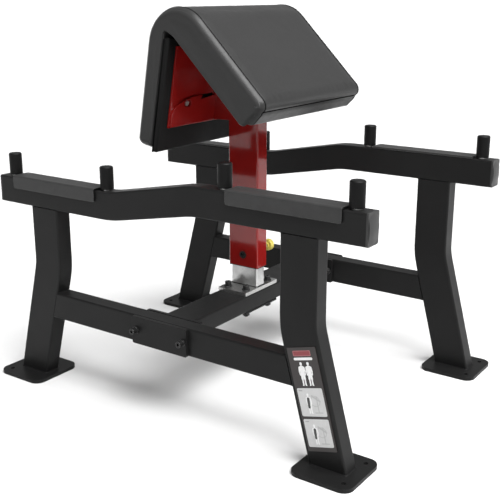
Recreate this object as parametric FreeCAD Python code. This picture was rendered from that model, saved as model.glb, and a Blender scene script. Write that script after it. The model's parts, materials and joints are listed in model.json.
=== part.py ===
import FreeCAD
import Part
import math
import os

# Standing biceps curl station: two stepped side frames with bar rests, joined by a
# low cross-beam that carries a height-adjustable, two-faced arm pad.
# Millimetres. +Z is up, +X points to the right side frame, -Y is the front, where the
# pad's sloping face and the higher bar rests are. The origin is on the floor, in the
# middle of the footprint.

# ---------------------------------------------------------------- driving dimensions
WALL = 3.0                    # wall of every rectangular tube
TUBE_CORNER = 5.0             # outer corner radius of those tubes

FRAME_X = 370.0               # middle plane of each side frame
FRAME_WIDTH = 50.0            # frame tubes, across X
BEAM_HEIGHT = 76.0
BEAM_LOW_TOP = 594.0          # top of the rear landing
BEAM_HIGH_TOP = 646.0         # top of the front landing
BEAM_HALF_LENGTH = 585.0
LOW_BEND_Y = 168.4            # bends, on the beam's centre line
HIGH_BEND_Y = -104.6
BEAM_BEND_RADIUS = 300.0

LEG_DEPTH = 100.0
LEG_Y = 416.5                 # upright stretch of each leg
LEG_BEND_Z = 347.0
LEG_SPLAY = math.radians(15)
LEG_BEND_RADIUS = 200.0

RAIL_BOTTOM = 198.0
RAIL_TOP = 274.0

FOOT_SIZE = 165.0
FOOT_THICKNESS = 10.0
FOOT_CORNER = 28.0
FOOT_Y = 512.0
FOOT_HOLE_RADIUS = 6.5
FOOT_HOLE_SPACING = 110.0
FOOT_HOLE_OUT = 55.0          # from the plate's middle towards the frame's end

CAP_RIM = 5.0
CAP_BULGE = 4.0
CAP_PLUG = 22.0
PLUG_GAP = 0.1                # between a plug and the tube wall around it
PLUG_CORNER = 2.2

WEAR_THICKNESS = 6.0
WEAR_EDGE = 5.0               # round of the fold along the beam's outer top corner
WEAR_CORNER = 6.0             # round of the flange's lower corners
WEAR_INNER_Y = 215.0
WEAR_OUTER_Y = 528.0
WEAR_DROP = 30.0              # how far the flange hangs down the beam's outer face
WEAR_SCREW_STEPS = (41.0, 169.0, 297.0)
WEAR_SCREW_IN = 16.0          # screws sit this far inside the frame's middle plane
SCREW_RADIUS = 3.0
SCREW_HEAD_RADIUS = 6.5
SCREW_HEAD_HEIGHT = 3.5
SCREW_SOCKET = 4.0
SCREW_LENGTH = 17.0

PEG_INNER_Y = 193.5
PEG_OUTER_Y = 548.5
PEG_RADIUS = 18.0
PEG_HEIGHT = 64.0
PEG_CHAMFER = 2.5
STUD_RADIUS = 8.0
STUD_COLLAR_RADIUS = 12.0
STUD_COLLAR_HEIGHT = 4.0
STUD_HEIGHT = 57.0

CLAMP_HALF_LENGTH = 92.0
CLAMP_THICKNESS = 10.0
CLAMP_BOLT_Y = 79.0
CLAMP_HOLE_RADIUS = 5.5

BEAM_CROSS_DEPTH = 100.0      # cross-beam, along Y
CROSS_TOP = 262.0
CROSS_BOTTOM = 212.0

BASE_HALF_X = 80.0
BASE_THICKNESS = 10.0
BACKING_THICKNESS = 5.0
BASE_BOLT_X = 55.0
BASE_BOLT_Y = 32.0
BASE_HOLE_RADIUS = 6.5

INNER_POST_X = 40.0
INNER_POST_Y = 90.0
INNER_POST_TOP = 700.0
PIN_Z = 365.0
PIN_STEP = 40.0
PIN_HOLES = 6
PIN_HOLE_RADIUS = 6.6
SCREW_GAP = 0.1               # around screws in their clearance holes

OUTER_POST_X = 50.0
OUTER_POST_Y = 100.0
OUTER_POST_BOTTOM = 331.0
BUSH_FLANGE = 2.0
BUSH_GAP = 0.35               # each side, between a bush and the inner post
LOWER_BUSH_HEIGHT = 18.0
UPPER_BUSH_BOTTOM = 470.0
UPPER_BUSH_HEIGHT = 30.0
SIGHT_HOLE_RADIUS = 10.0
GROMMET_BORE = 6.6            # radius
GROMMET_LIP = 1.5

PLUNGER_RADIUS = 6.0
PLUNGER_TIP_X = 21.5          # pulled back, just clear of the inner post
PLUNGER_COLLAR_X = 48.0
HOUSING_END_X = 66.0
HOUSING_RADIUS = 12.0
HOUSING_CHAMBER_RADIUS = 9.0
HOUSING_CHAMBER_X = 33.0
END_CAP_LENGTH = 4.0
RUNNING_GAP = 0.05
KNOB_START_X = 92.0
KNOB_FACE_X = 98.0
KNOB_END_X = 115.0
KNOB_RADIUS = 17.5

PAD_HALF_X = 254.0
STEEP_BOARD_HALF_X = 252.0
SLOPE_BOARD_HALF_X = 249.0
STEEP_TILT = math.radians(10)  # steep face, from upright
STEEP_REF = (165.7, 862.0)     # a point (y, z) on the steep outer face
SLOPE_LEVEL = 1058.0           # z minus y on the sloping outer face, which lies at 45 degrees
SLOPE_END = 600.0              # z plus y on the sloping leg's lower end
RIDGE_RADIUS = 102.0
STEEP_FOAM = 57.0
SLOPE_FOAM = 73.0
BOARD = 18.0
STEEP_END_Z = 693.0            # inner corner of the steep leg's lower end
END_CORNER = 16.0              # round of the legs' lower outer corners

STEEP_BOARD_Z = (684.0, 985.0)
SLOPE_BOARD_RUN = (632.0, 1028.0)  # along the slope, given as z plus y
PLATE = 5.0
PLATE_HALF_X = 220.0
REAR_PLATE_Z = (747.0, 962.0)
FRONT_PLATE_RUN = (655.0, 990.0)
PAD_SCREW_X = 156.0
REAR_SCREW_Z = (808.0, 930.0)
FRONT_SCREW_RUN = (710.0, 930.0)
CROSSBAR = 6.0
CROSSBAR_HALF_X = 218.0
CROSSBAR_Z = (750.0, 826.0)
CROSSBAR_ROUND_X = 120.0       # half axes of the crossbar's elliptical upper corner
CROSSBAR_ROUND_Z = 46.0
CROSSBAR_HOLE_RADIUS = 9.5
CROSSBAR_HOLE_SLIDE = 5.0      # half the distance between the ends' centres of its long hole
NOTCH_X = (38.0, 102.0)        # drain slot through the crossbar's upper edge and the rear plate
NOTCH_Z = (821.0, 814.0)       # its lower edge, at those two places
NOTCH_PLATE_Z = 827.0          # its upper edge in the rear plate

PLACARD_WIDTH = 80.0
PLACARD_LENGTH = 258.0
PLACARD_THICKNESS = 1.5
PLACARD_Z = 180.0

VECTOR = FreeCAD.Vector
X_AXIS = VECTOR(1, 0, 0)
Y_AXIS = VECTOR(0, 1, 0)
Z_AXIS = VECTOR(0, 0, 1)


# ------------------------------------------------------------------------ shape tools
def box(x_range, y_range, z_range):
    size = [high - low for low, high in (x_range, y_range, z_range)]
    return Part.makeBox(*size, VECTOR(x_range[0], y_range[0], z_range[0]))


def cylinder(radius, height, base, axis=Z_AXIS):
    return Part.makeCylinder(radius, height, VECTOR(*base), axis)


def extrude_yz(points, x_low, x_high):
    """Prism along X over a closed outline of (y, z) points."""
    wire = Part.makePolygon([VECTOR(x_low, y, z) for y, z in points + points[:1]])
    return Part.Face(wire).extrude(VECTOR(x_high - x_low, 0, 0))


def fillet_edges_along(shape, axis, radius):
    """Round every straight edge that runs along the axis."""
    edges = []
    for edge in shape.Edges:
        if isinstance(edge.Curve, (Part.Line, Part.LineSegment)):
            run = edge.tangentAt(edge.FirstParameter)
            if abs(abs(run.dot(axis)) - 1) < 1e-6:
                edges.append(edge)
    return shape.makeFillet(radius, edges)


def rounded_box(x_range, y_range, z_range, axis, radius):
    return fillet_edges_along(box(x_range, y_range, z_range), axis, radius)


def straight_tube(x_range, y_range, z_range, axis):
    """Rectangular tube that runs along the axis, open at both ends."""
    outer = rounded_box(x_range, y_range, z_range, axis, TUBE_CORNER)
    ranges = []
    for (low, high), direction in zip((x_range, y_range, z_range), (X_AXIS, Y_AXIS, Z_AXIS)):
        inset = -1.0 if direction == axis else WALL
        ranges.append((low + inset, high - inset))
    return outer.cut(rounded_box(*ranges, axis, TUBE_CORNER - WALL))


def bent_path(points, radius):
    """Wire in the YZ plane through the points, with each inner corner rounded."""
    corners = [VECTOR(0, y, z) for y, z in points]
    edges = []
    start = corners[0]
    for before, corner, after in zip(corners, corners[1:], corners[2:]):
        back = (before - corner).normalize()
        ahead = (after - corner).normalize()
        turn = math.pi - back.getAngle(ahead)
        reach = radius * math.tan(turn / 2)
        entry = corner + back * reach
        leave = corner + ahead * reach
        to_middle = (back + ahead).normalize()
        crest = radius / math.cos(turn / 2) - radius
        edges.append(Part.LineSegment(start, entry).toShape())
        edges.append(Part.Arc(entry, corner + to_middle * crest, leave).toShape())
        start = leave
    edges.append(Part.LineSegment(start, corners[-1]).toShape())
    return Part.Wire(edges)


def section_wire(origin, run, width, depth, corner):
    """Rounded rectangle square to the run: width along X, depth in the YZ plane."""
    side = X_AXIS
    up = side.cross(run).normalize()
    half_w = width / 2
    half_d = depth / 2

    def point(a, b):
        return origin + side * a + up * b

    diagonal = corner * (1 - math.sqrt(0.5))
    edges = []
    for sign_a, sign_b in ((1, 1), (-1, 1), (-1, -1), (1, -1)):
        near_a = sign_a * (half_w - corner)
        near_b = sign_b * (half_d - corner)
        along_x = point(near_a, sign_b * half_d)
        along_z = point(sign_a * half_w, near_b)
        middle = point(sign_a * (half_w - diagonal), sign_b * (half_d - diagonal))
        ends = (along_z, along_x) if sign_a == sign_b else (along_x, along_z)
        edges.append((ends[0], middle, ends[1]))
    loop = []
    for (first, middle, last), following in zip(edges, edges[1:] + edges[:1]):
        loop.append(Part.Arc(first, middle, last).toShape())
        loop.append(Part.LineSegment(last, following[0]).toShape())
    return Part.Wire(loop)


def bent_bar(points, radius, width, depth, corner):
    path = bent_path(points, radius)
    start = VECTOR(0, *points[0])
    run = (VECTOR(0, *points[1]) - start).normalize()
    section = section_wire(start, run, width, depth, corner)
    return path.makePipeShell([section], True, False)


def bent_tube(points, radius, width, depth):
    outer = bent_bar(points, radius, width, depth, TUBE_CORNER)
    inner = bent_bar(points, radius, width - 2 * WALL, depth - 2 * WALL, TUBE_CORNER - WALL)
    return outer.cut(inner)


def hexagon(across_flats, height, base, axis):
    """Hexagonal prism that starts at base and runs along the axis."""
    corner_radius = across_flats / math.sqrt(3)
    points = []
    for step in range(7):
        angle = math.radians(60 * step)
        points.append(VECTOR(corner_radius * math.cos(angle), corner_radius * math.sin(angle), 0))
    prism = Part.Face(Part.makePolygon(points)).extrude(VECTOR(0, 0, height))
    prism.Placement = FreeCAD.Placement(VECTOR(*base), FreeCAD.Rotation(Z_AXIS, axis))
    return prism


def socket_bolt(head_base, axis, thread, head_height, length):
    """Socket-head cap screw; the axis points from the head's underside to its top."""
    base = VECTOR(*head_base)
    head_radius = thread * 0.75 + (1 if thread < 12 else 0)
    head = Part.makeCylinder(head_radius, head_height, base, axis)
    head = head.makeChamfer(0.6, [head.Edges[0]])
    shank = Part.makeCylinder(thread / 2, length, base - axis * length, axis)
    socket_depth = head_height * 0.5
    top = base + axis * (head_height - socket_depth)
    return head.fuse(shank).cut(hexagon(thread * 0.8, socket_depth + 1, top, axis)).removeSplitter()


def washer(outer, inner, thickness, base, axis):
    ring = cylinder(outer, thickness, base, axis)
    hole = cylinder(inner, thickness + 2, VECTOR(*base) - axis, axis)
    return ring.cut(hole)


def nut(across_flats, thread, height, base, axis):
    return hexagon(across_flats, height, base, axis).cut(
        cylinder(thread / 2 + 0.05, height + 2, VECTOR(*base) - axis, axis))


def mirror_x(shape):
    return shape.mirror(VECTOR(0, 0, 0), X_AXIS)


def save(name, *solids):
    shape = solids[0] if len(solids) == 1 else Part.makeCompound(list(solids))
    shape.exportStep("parts/" + name + ".step")


def save_pair(name, right):
    """The right-hand piece as modelled, and its mirror image on the left."""
    solids = right if isinstance(right, list) else [right]
    save("right_" + name, *solids)
    save("left_" + name, *[mirror_x(solid) for solid in solids])


# ------------------------------------------------------------------------ side frames
def landing_top(y):
    return BEAM_HIGH_TOP if y < 0 else BEAM_LOW_TOP


def peg_places():
    for sign in (-1, 1):
        for distance in (PEG_INNER_Y, PEG_OUTER_Y):
            yield sign * distance


def screw_places():
    for start in (-WEAR_OUTER_Y, WEAR_INNER_Y):
        for step in WEAR_SCREW_STEPS:
            yield start + step


def wear_screw_hole(y, gap=SCREW_GAP):
    """Outline of a countersunk screw through a wear plate into the beam, widened by the gap."""
    x = FRAME_X - WEAR_SCREW_IN
    top = landing_top(y) + WEAR_THICKNESS
    head = Part.makeCone(
        SCREW_RADIUS + gap, SCREW_HEAD_RADIUS + gap, SCREW_HEAD_HEIGHT,
        VECTOR(x, y, top - SCREW_HEAD_HEIGHT))
    shank = cylinder(SCREW_RADIUS + gap, SCREW_LENGTH, (x, y, top - SCREW_LENGTH))
    return head.fuse(shank).removeSplitter()


def wear_screw(y):
    top = landing_top(y) + WEAR_THICKNESS
    socket = hexagon(SCREW_SOCKET, 3, (FRAME_X - WEAR_SCREW_IN, y, top - 2), Z_AXIS)
    return wear_screw_hole(y, 0.0).cut(socket)


def top_beam():
    half = BEAM_HEIGHT / 2
    points = [
        (BEAM_HALF_LENGTH, BEAM_LOW_TOP - half),
        (LOW_BEND_Y, BEAM_LOW_TOP - half),
        (HIGH_BEND_Y, BEAM_HIGH_TOP - half),
        (-BEAM_HALF_LENGTH, BEAM_HIGH_TOP - half),
    ]
    beam = bent_tube(points, BEAM_BEND_RADIUS, FRAME_WIDTH, BEAM_HEIGHT)
    beam.translate(VECTOR(FRAME_X, 0, 0))
    for y in screw_places():
        beam = beam.cut(wear_screw_hole(y))
    return beam


def leg(side):
    """One leg; side is -1 for the front leg and 1 for the rear leg."""
    top = landing_top(side) - BEAM_HEIGHT
    below = 40.0
    foot_y = LEG_Y + (LEG_BEND_Z + below) * math.tan(LEG_SPLAY)
    points = [(side * LEG_Y, top), (side * LEG_Y, LEG_BEND_Z), (side * foot_y, -below)]
    tube = bent_tube(points, LEG_BEND_RADIUS, FRAME_WIDTH, LEG_DEPTH)
    tube.translate(VECTOR(FRAME_X, 0, 0))
    floor = box((FRAME_X - 60, FRAME_X + 60), (-800, 800), (-200, FOOT_THICKNESS))
    return tube.cut(floor)


def lower_rail():
    half_depth = LEG_DEPTH / 2 / math.cos(LEG_SPLAY)
    x_range = (FRAME_X - FRAME_WIDTH / 2, FRAME_X + FRAME_WIDTH / 2)

    def end_y(z):
        return LEG_Y + (LEG_BEND_Z - z) * math.tan(LEG_SPLAY) - half_depth

    rail = straight_tube(x_range, (-450, 450), (RAIL_BOTTOM, RAIL_TOP), Y_AXIS)
    keep = extrude_yz(
        [(-end_y(0), 0), (end_y(0), 0), (end_y(400), 400), (-end_y(400), 400)],
        FRAME_X - 60, FRAME_X + 60)
    return rail.common(keep).cut(clamp_holes())


def clamp_places():
    middle = (RAIL_BOTTOM + RAIL_TOP) / 2
    return [(-CLAMP_BOLT_Y, middle), (CLAMP_BOLT_Y, middle)]


def clamp_holes():
    holes = [cylinder(CLAMP_HOLE_RADIUS, 200, (FRAME_X - 100, y, z), X_AXIS)
             for y, z in clamp_places()]
    return holes[0].fuse(holes[1])


def clamp_plate(x_low):
    plate = rounded_box(
        (x_low, x_low + CLAMP_THICKNESS), (-CLAMP_HALF_LENGTH, CLAMP_HALF_LENGTH),
        (RAIL_BOTTOM, RAIL_TOP), X_AXIS, 4.0)
    return plate.cut(clamp_holes())


def foot_plate(side):
    half = FOOT_SIZE / 2
    middle = side * FOOT_Y
    plate = rounded_box(
        (FRAME_X - half, FRAME_X + half), (middle - half, middle + half),
        (0, FOOT_THICKNESS), Z_AXIS, FOOT_CORNER)
    for offset in (-FOOT_HOLE_SPACING / 2, FOOT_HOLE_SPACING / 2):
        place = (FRAME_X + offset, middle + side * FOOT_HOLE_OUT, -1)
        plate = plate.cut(cylinder(FOOT_HOLE_RADIUS, FOOT_THICKNESS + 2, place))
    return plate


def beam_end_cap(side):
    """Plug with a rim that covers the beam's end and a slightly bulged face."""
    top = landing_top(side)
    bottom = top - BEAM_HEIGHT
    end = side * BEAM_HALF_LENGTH
    half = FRAME_WIDTH / 2
    out = sorted((end, end + side * CAP_RIM))
    rim = rounded_box(
        (FRAME_X - half, FRAME_X + half), out, (bottom, top), Y_AXIS, TUBE_CORNER)
    inset = WALL + PLUG_GAP
    plug_range = sorted((end, end - side * CAP_PLUG))
    plug = rounded_box(
        (FRAME_X - half + inset, FRAME_X + half - inset), plug_range,
        (bottom + inset, top - inset), Y_AXIS, PLUG_CORNER)
    # The bulge is a shallow slice of a large ball.
    reach = BEAM_HEIGHT / 2 - 4
    ball_radius = (reach ** 2 + CAP_BULGE ** 2) / (2 * CAP_BULGE)
    centre = VECTOR(FRAME_X, end + side * (CAP_RIM + CAP_BULGE - ball_radius), (top + bottom) / 2)
    ball = Part.makeSphere(ball_radius, centre)
    slab_range = sorted((end + side * (CAP_RIM - 0.5), end + side * (CAP_RIM + CAP_BULGE)))
    slab = rounded_box(
        (FRAME_X - half + 3, FRAME_X + half - 3), slab_range, (bottom + 3, top - 3), Y_AXIS, 4.0)
    return rim.fuse(plug).fuse(ball.common(slab)).removeSplitter()


def wear_plate(side):
    top = landing_top(side)
    inner_x = FRAME_X - FRAME_WIDTH / 2 + 1
    outer_x = FRAME_X + FRAME_WIDTH / 2
    y_range = sorted((side * WEAR_INNER_Y, side * WEAR_OUTER_Y))
    top_strip = box((inner_x, outer_x + WEAR_THICKNESS), y_range, (top, top + WEAR_THICKNESS))
    flange = box(
        (outer_x, outer_x + WEAR_THICKNESS), y_range, (top - WEAR_DROP, top + WEAR_THICKNESS))
    plate = top_strip.fuse(flange).removeSplitter()
    outer_edges = []
    for edge in plate.Edges:
        middle = edge.CenterOfMass
        on_corner = abs(middle.x - outer_x - WEAR_THICKNESS) < 0.01
        if on_corner and abs(middle.z - top - WEAR_THICKNESS) < 0.01:
            outer_edges.append(edge)
    plate = plate.makeFillet(WEAR_EDGE, outer_edges)
    lower_corners = []
    for edge in plate.Edges:
        middle = edge.CenterOfMass
        across = abs(middle.x - outer_x - WEAR_THICKNESS / 2) < 0.01
        if across and abs(middle.z - top + WEAR_DROP) < 0.01 and edge.Length < 2 * WEAR_THICKNESS:
            lower_corners.append(edge)
    plate = plate.makeFillet(WEAR_CORNER, lower_corners)
    for y in screw_places():
        if y * side > 0:
            plate = plate.cut(wear_screw_hole(y))
    return plate


def peg_stud(y, beam):
    """Welded stud; the beam is cut away because it already curves under the rear inner one."""
    top = landing_top(y)
    rod = cylinder(STUD_RADIUS, STUD_HEIGHT, (FRAME_X, y, top))
    collar = cylinder(STUD_COLLAR_RADIUS, STUD_COLLAR_HEIGHT, (FRAME_X, y, top))
    return rod.fuse(collar).removeSplitter().cut(beam)


def peg_sleeve(y):
    bottom = landing_top(y) + STUD_COLLAR_HEIGHT
    height = PEG_HEIGHT - STUD_COLLAR_HEIGHT
    sleeve = cylinder(PEG_RADIUS, height, (FRAME_X, y, bottom))
    rims = [edge for edge in sleeve.Edges if edge.Closed and edge.CenterOfMass.z > bottom + 1]
    sleeve = sleeve.makeChamfer(PEG_CHAMFER, rims)
    bore = STUD_HEIGHT - STUD_COLLAR_HEIGHT + 1
    return sleeve.cut(cylinder(STUD_RADIUS + 0.2, bore, (FRAME_X, y, bottom)))


def make_side_frames():
    beam = top_beam()
    save_pair("top_beam", beam)
    save_pair("lower_rail", lower_rail())
    outer_face = FRAME_X + FRAME_WIDTH / 2
    save_pair("clamp_plate", clamp_plate(outer_face))
    save_pair("beam_end_caps", [beam_end_cap(-1), beam_end_cap(1)])
    for side, word in ((-1, "front"), (1, "rear")):
        save_pair(word + "_leg", leg(side))
        save_pair(word + "_foot_plate", foot_plate(side))
        save_pair(word + "_wear_plate", wear_plate(side))
        save_pair(word + "_peg_sleeves", [peg_sleeve(y) for y in peg_places() if y * side > 0])
    screws = [wear_screw(y) for y in screw_places()]
    save("wear_plate_screws", *screws, *[mirror_x(screw) for screw in screws])
    studs = [peg_stud(y, beam) for y in peg_places()]
    save("peg_studs", *studs, *[mirror_x(stud) for stud in studs])


# ------------------------------------------------------------- cross-beam and its bolts
def make_clamp_fasteners():
    thread = 10.0
    outer_face = FRAME_X + FRAME_WIDTH / 2 + CLAMP_THICKNESS
    inner_face = FRAME_X - FRAME_WIDTH / 2 - CLAMP_THICKNESS
    head_height = 14.0
    washer_height = 4.0
    nut_height = 8.0
    length = outer_face + washer_height - inner_face + washer_height + nut_height + 3
    bolts = []
    washers = []
    nuts = []
    for y, z in clamp_places():
        head = (outer_face + washer_height, y, z)
        bolts.append(socket_bolt(head, X_AXIS, thread, head_height, length))
        washers.append(washer(10, 5.3, washer_height, (outer_face, y, z), X_AXIS))
        washers.append(washer(10, 5.3, washer_height, (inner_face, y, z), -X_AXIS))
        nuts.append(nut(16, thread, nut_height, (inner_face - washer_height, y, z), -X_AXIS))
    for name, group in (("clamp_bolts", bolts), ("clamp_washers", washers), ("clamp_nuts", nuts)):
        save(name, *group, *[mirror_x(piece) for piece in group])


def base_bolt_places():
    return [(x, y) for x in (-BASE_BOLT_X, BASE_BOLT_X) for y in (-BASE_BOLT_Y, BASE_BOLT_Y)]


def cut_base_holes(shape):
    for x, y in base_bolt_places():
        shape = shape.cut(cylinder(BASE_HOLE_RADIUS, 200, (x, y, CROSS_BOTTOM - 80)))
    return shape


def make_cross_beam():
    end_x = FRAME_X - FRAME_WIDTH / 2 - CLAMP_THICKNESS
    half_y = BEAM_CROSS_DEPTH / 2
    tube = straight_tube((-end_x, end_x), (-half_y, half_y), (CROSS_BOTTOM, CROSS_TOP), X_AXIS)
    save("cross_beam", cut_base_holes(tube))
    save_pair("cross_beam_end_plate", clamp_plate(end_x))

    x_range = (-BASE_HALF_X, BASE_HALF_X)
    base = rounded_box(
        x_range, (-half_y, half_y), (CROSS_TOP, CROSS_TOP + BASE_THICKNESS), Z_AXIS, 3.0)
    save("base_plate", cut_base_holes(base))
    backing = rounded_box(
        x_range, (-half_y, half_y), (CROSS_BOTTOM - BACKING_THICKNESS, CROSS_BOTTOM), Z_AXIS, 3.0)
    save("backing_plate", cut_base_holes(backing))


def make_base_fasteners():
    thread = 12.0
    washer_height = 2.5
    nut_height = 10.0
    top = CROSS_TOP + BASE_THICKNESS
    bottom = CROSS_BOTTOM - BACKING_THICKNESS
    length = top - bottom + 2 * washer_height + nut_height + 3
    bolts = []
    washers = []
    nuts = []
    for x, y in base_bolt_places():
        bolts.append(socket_bolt((x, y, top + washer_height), Z_AXIS, thread, 12.0, length))
        washers.append(washer(12, 6.3, washer_height, (x, y, top), Z_AXIS))
        washers.append(washer(12, 6.3, washer_height, (x, y, bottom), -Z_AXIS))
        nuts.append(nut(18, thread, nut_height, (x, y, bottom - washer_height), -Z_AXIS))
    save("base_bolts", *bolts)
    save("base_washers", *washers)
    save("base_nuts", *nuts)


# ------------------------------------------------------------------ telescoping column
def make_inner_post():
    half_x = INNER_POST_X / 2
    half_y = INNER_POST_Y / 2
    bottom = CROSS_TOP + BASE_THICKNESS
    post = straight_tube((-half_x, half_x), (-half_y, half_y), (bottom, INNER_POST_TOP), Z_AXIS)
    for step in range(PIN_HOLES):
        height = PIN_Z + step * PIN_STEP
        post = post.cut(cylinder(PIN_HOLE_RADIUS, 2 * half_x + 10, (-half_x - 5, 0, height), X_AXIS))
    save("inner_post", post)

    lip = rounded_box(
        (-half_x, half_x), (-half_y, half_y), (INNER_POST_TOP, INNER_POST_TOP + 3), Z_AXIS, 5.0)
    inset = WALL + PLUG_GAP
    plug = rounded_box(
        (-half_x + inset, half_x - inset), (-half_y + inset, half_y - inset),
        (INNER_POST_TOP - 15, INNER_POST_TOP), Z_AXIS, PLUG_CORNER)
    save("inner_post_cap", lip.fuse(plug).removeSplitter())


def guide_bush(bottom, height):
    """Plastic liner inside the outer post, with a running gap around the inner post."""
    half_x = OUTER_POST_X / 2 - WALL - PLUG_GAP
    half_y = OUTER_POST_Y / 2 - WALL - PLUG_GAP
    bush = rounded_box(
        (-half_x, half_x), (-half_y, half_y), (bottom, bottom + height), Z_AXIS, PLUG_CORNER)
    return bush.cut(guide_opening())


def guide_opening():
    half_x = INNER_POST_X / 2 + BUSH_GAP
    half_y = INNER_POST_Y / 2 + BUSH_GAP
    return box((-half_x, half_x), (-half_y, half_y), (0, 1200))


def make_outer_post():
    half_x = OUTER_POST_X / 2
    half_y = OUTER_POST_Y / 2
    post = straight_tube((-half_x, half_x), (-half_y, half_y), (OUTER_POST_BOTTOM, 1100), Z_AXIS)
    post = post.cut(slope_slab(-600, SLOPE_FOAM + BOARD + PLATE, 0, 2600, 100))
    post = post.cut(cylinder(HOUSING_RADIUS - 2, 20, (half_x - 10, 0, PIN_Z), X_AXIS))
    post = post.cut(cylinder(SIGHT_HOLE_RADIUS, 20, (-half_x - 10, 0, PIN_Z), X_AXIS))
    save("outer_post", post)

    def ring(x_low, x_high, radius):
        return cylinder(radius, x_high - x_low, (x_low, 0, PIN_Z), X_AXIS)

    grommet = ring(-half_x, -half_x + WALL, SIGHT_HOLE_RADIUS)
    grommet = grommet.fuse(ring(-half_x - GROMMET_LIP, -half_x, SIGHT_HOLE_RADIUS + GROMMET_LIP))
    bore = ring(-half_x - GROMMET_LIP - 1, -half_x + WALL + 1, GROMMET_BORE)
    save("sight_hole_grommet", grommet.cut(bore).removeSplitter())

    lower = guide_bush(OUTER_POST_BOTTOM, LOWER_BUSH_HEIGHT)
    flange = rounded_box(
        (-half_x, half_x), (-half_y, half_y),
        (OUTER_POST_BOTTOM - BUSH_FLANGE, OUTER_POST_BOTTOM), Z_AXIS, TUBE_CORNER)
    save("lower_guide_bush", lower.fuse(flange.cut(guide_opening())).removeSplitter())
    save("upper_guide_bush", guide_bush(UPPER_BUSH_BOTTOM, UPPER_BUSH_HEIGHT))


def turned(profile):
    """Solid of revolution about the pull pin's axis from (x, radius) points."""
    wire = Part.makePolygon([VECTOR(x, 0, PIN_Z + r) for x, r in profile + profile[:1]])
    return Part.Face(wire).revolve(VECTOR(0, 0, PIN_Z), X_AXIS, 360)


def make_pull_pin():
    face = OUTER_POST_X / 2
    bore = PLUNGER_RADIUS + RUNNING_GAP
    chamber = HOUSING_CHAMBER_RADIUS
    housing = turned([
        (face - WALL, bore), (HOUSING_CHAMBER_X, bore), (HOUSING_CHAMBER_X, chamber),
        (HOUSING_END_X, chamber), (HOUSING_END_X, HOUSING_RADIUS), (face, HOUSING_RADIUS),
        (face, HOUSING_RADIUS - 2.1), (face - WALL, HOUSING_RADIUS - 2.1)])
    save("pin_housing", housing)
    cap_end = HOUSING_END_X + END_CAP_LENGTH
    save("pin_end_cap", turned([
        (HOUSING_END_X, bore), (cap_end, bore), (cap_end, HOUSING_RADIUS - 1),
        (cap_end - 1, HOUSING_RADIUS), (HOUSING_END_X, HOUSING_RADIUS)]))

    collar = chamber - 0.4
    stem = 4.0
    save("pin_plunger", turned([
        (PLUNGER_TIP_X, 0), (PLUNGER_TIP_X, PLUNGER_RADIUS - 1),
        (PLUNGER_TIP_X + 1, PLUNGER_RADIUS), (PLUNGER_COLLAR_X, PLUNGER_RADIUS),
        (PLUNGER_COLLAR_X, collar), (PLUNGER_COLLAR_X + 3, collar),
        (PLUNGER_COLLAR_X + 3, PLUNGER_RADIUS), (KNOB_START_X, PLUNGER_RADIUS),
        (KNOB_START_X, stem), (KNOB_END_X - 6, stem), (KNOB_END_X - 6, 0)]))

    wire_radius = 0.6
    coil_radius = 7.7
    spring_start = PLUNGER_COLLAR_X + 3 + 0.4 + wire_radius
    spring_end = HOUSING_END_X - 0.1 - wire_radius
    turns = 5
    helix = Part.makeHelix((spring_end - spring_start) / turns, spring_end - spring_start, coil_radius)
    circle = Part.Wire(Part.makeCircle(wire_radius, VECTOR(coil_radius, 0, 0), Y_AXIS))
    spring = Part.Wire(helix).makePipeShell([circle], True, True)
    spring.Placement = FreeCAD.Placement(
        VECTOR(spring_start, 0, PIN_Z), FreeCAD.Rotation(Z_AXIS, X_AXIS))
    save("pin_spring", spring)

    neck = 9.0
    edge = 4.0
    knob = turned([
        (KNOB_START_X, stem + RUNNING_GAP), (KNOB_START_X, neck), (KNOB_FACE_X, neck),
        (KNOB_FACE_X, KNOB_RADIUS), (KNOB_END_X, KNOB_RADIUS), (KNOB_END_X, 0),
        (KNOB_END_X - 5, 0), (KNOB_END_X - 5, stem + RUNNING_GAP)])
    rims = [rim for rim in knob.Edges
            if isinstance(rim.Curve, Part.Circle) and abs(rim.Curve.Radius - KNOB_RADIUS) < 0.01]
    save("pin_knob", knob.makeFillet(edge, rims))


# ------------------------------------------------------------------------------ arm pad
def steep_point(depth, z):
    """(y, z) at height z, on the plane this deep behind the steep outer face."""
    ref_y, ref_z = STEEP_REF
    return (ref_y - (z - ref_z) * math.tan(STEEP_TILT) - depth / math.cos(STEEP_TILT), z)


def slope_point(depth, along):
    """(y, z) on the plane this deep under the sloping outer face, where z plus y is along."""
    level = SLOPE_LEVEL - depth * math.sqrt(2)
    return ((along - level) / 2, (along + level) / 2)


def steep_slab(near, far, z_low, z_high, half_x):
    points = [steep_point(near, z_low), steep_point(near, z_high),
              steep_point(far, z_high), steep_point(far, z_low)]
    return extrude_yz(points, -half_x, half_x)


def slope_slab(near, far, low, high, half_x):
    points = [slope_point(near, low), slope_point(near, high),
              slope_point(far, high), slope_point(far, low)]
    return extrude_yz(points, -half_x, half_x)


def ridge_centre():
    """Centre of the ridge's round, which touches both outer faces."""
    ref_y, ref_z = STEEP_REF
    level = SLOPE_LEVEL - RIDGE_RADIUS * math.sqrt(2)
    cos_tilt = math.cos(STEEP_TILT)
    sin_tilt = math.sin(STEEP_TILT)
    y = (ref_y * cos_tilt - RIDGE_RADIUS - (level - ref_z) * sin_tilt) / (cos_tilt + sin_tilt)
    return y, y + level


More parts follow.
